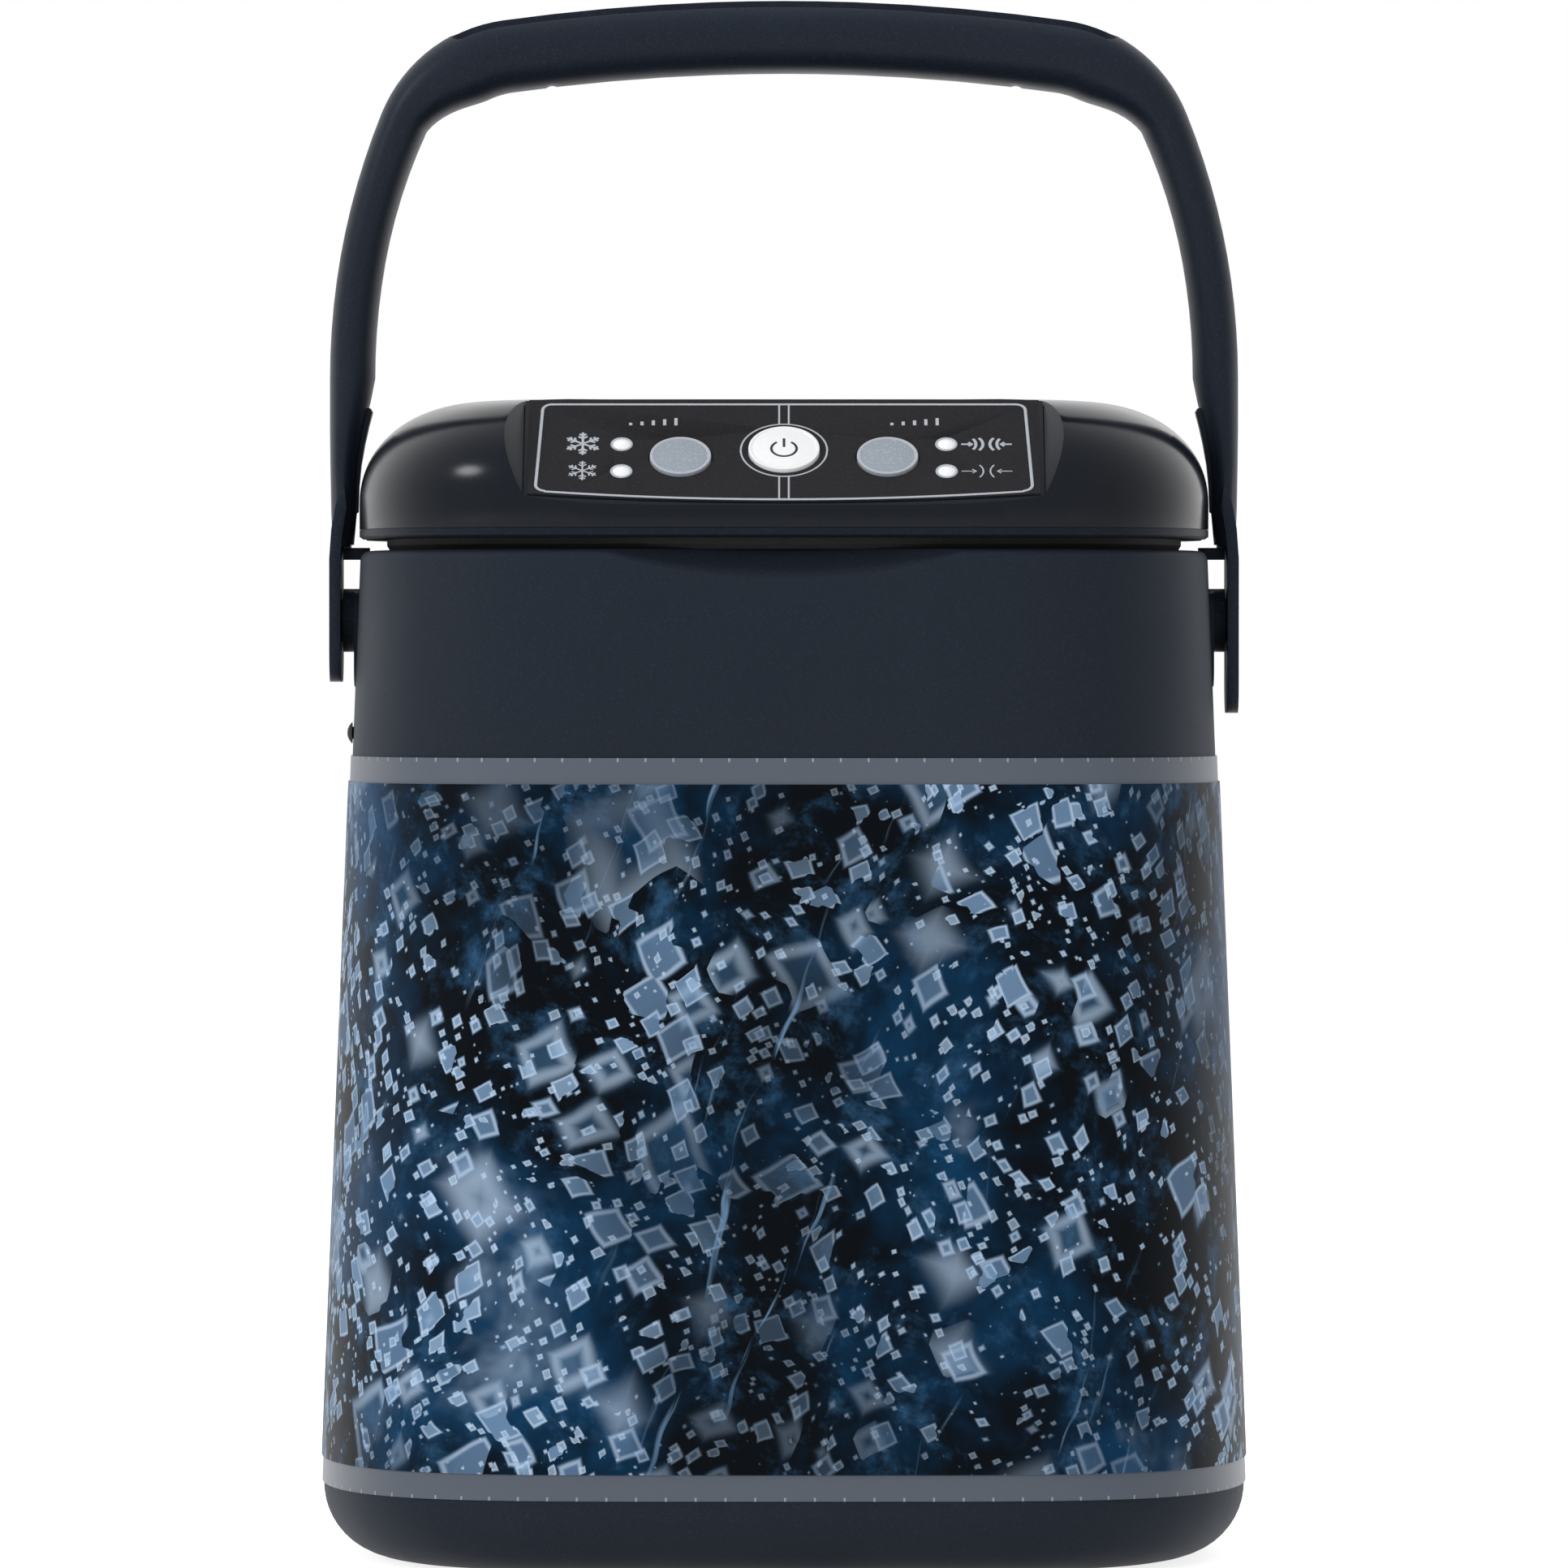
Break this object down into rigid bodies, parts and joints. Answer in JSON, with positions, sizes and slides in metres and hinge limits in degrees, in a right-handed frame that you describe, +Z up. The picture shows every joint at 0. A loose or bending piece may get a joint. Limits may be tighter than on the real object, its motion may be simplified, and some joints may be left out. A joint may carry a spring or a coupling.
{
  "type": "cold and compression therapy machine",
  "caption": "Insulated tub with a lift-off pump lid, sloped control panel with round buttons, rear hose sockets and a swinging bail handle.",
  "frame": {"origin": "centre of the bounding box, on the floor under the tub", "axes": "+Z up, the control panel faces -Y, +X to the right as seen from the front; millimetre construction, metres here"},
  "size_m": [0.2166, 0.1914, 0.363],
  "materials": {
    "tub_plastic": "satin, finely speckled",
    "handle_plastic": "satin, finely speckled",
    "mount_plastic": "satin",
    "lid_gloss": "glossy",
    "tray_plastic": "satin",
    "seal_rubber": "matte",
    "band_film": "half gloss",
    "print_film": "printed, half gloss",
    "liner_plastic": "satin",
    "foam": "matte",
    "screw_steel": "plated",
    "overlay_film": "fine matte texture",
    "white_cap": "half gloss",
    "grey_cap": "speckled satin",
    "lamp_lens": "milky",
    "board_green": "lacquered",
    "switch_black": "satin",
    "pump_plastic": "satin",
    "motor_can": "plated",
    "rotor_plastic": "satin",
    "hose_clear": "translucent",
    "crank_steel": "ground"
  },
  "bodies": {
    "tub": {"tub_shell": "tub_plastic", "foam_core": "foam", "liner": "liner_plastic", "label_band": "band_film", "label_print": "print_film", "fill_plug": "seal_rubber", "hinge_mount_left": "mount_plastic", "hinge_mount_right": "mount_plastic", "hinge_screws": "screw_steel", "hinge_caps": "handle_plastic"},
    "handle": {"handle": "handle_plastic"},
    "lid": {"lid_cover": "lid_gloss", "lid_tray": "tray_plastic", "lid_gasket": "seal_rubber", "lid_foam": "foam", "lid_screws": "screw_steel", "panel_overlay": "overlay_film", "lamp_lenses": "lamp_lens", "control_board": "board_green", "tact_switches": "switch_black", "pump_body": "pump_plastic", "pump_cover": "pump_plastic", "pump_motor": "motor_can", "intake_tube": "hose_clear", "intake_strainer": "mount_plastic", "return_spout": "hose_clear", "water_out_tube": "hose_clear", "water_back_tube": "hose_clear", "air_pump_body": "pump_plastic", "air_pump_head": "pump_plastic", "air_motor": "motor_can", "air_valve": "pump_plastic", "air_tube": "hose_clear", "hose_socket": "mount_plastic", "port_sleeves": "rotor_plastic", "power_jack": "switch_black", "jack_nut": "screw_steel"},
    "power_button": {"power_button": "white_cap"},
    "cold_button": {"cold_button": "grey_cap"},
    "compression_button": {"compression_button": "grey_cap"},
    "pump_rotor": {"pump_impeller": "rotor_plastic"},
    "air_rotor": {"air_crank": "crank_steel"}
  },
  "joints": [
    {"name": "handle_swing", "type": "hinge", "parent": "tub", "child": "handle", "pos_m": [0, 0, 0.2176], "axis": [1, 0, 0], "range_deg": [-90, 90]},
    {"name": "lid_lift", "type": "slide", "parent": "tub", "child": "lid", "axis": [0, 0, 1], "range_m": [0, 0.035]},
    {"name": "power_button_press", "type": "slide", "parent": "lid", "child": "power_button", "axis": [0, 0.6157, -0.788], "range_m": [0, 0.0005], "stiffness_N_per_m": 400},
    {"name": "cold_button_press", "type": "slide", "parent": "lid", "child": "cold_button", "axis": [0, 0.6157, -0.788], "range_m": [0, 0.0005], "stiffness_N_per_m": 400},
    {"name": "compression_button_press", "type": "slide", "parent": "lid", "child": "compression_button", "axis": [0, 0.6157, -0.788], "range_m": [0, 0.0005], "stiffness_N_per_m": 400},
    {"name": "pump_spin", "type": "hinge", "parent": "lid", "child": "pump_rotor", "pos_m": [0, 0.04, 0.215], "axis": [0, 0, 1], "continuous": true},
    {"name": "air_crank_spin", "type": "hinge", "parent": "lid", "child": "air_rotor", "pos_m": [-0.05, 0.008, 0.222], "axis": [1, 0, 0], "continuous": true}
  ]
}
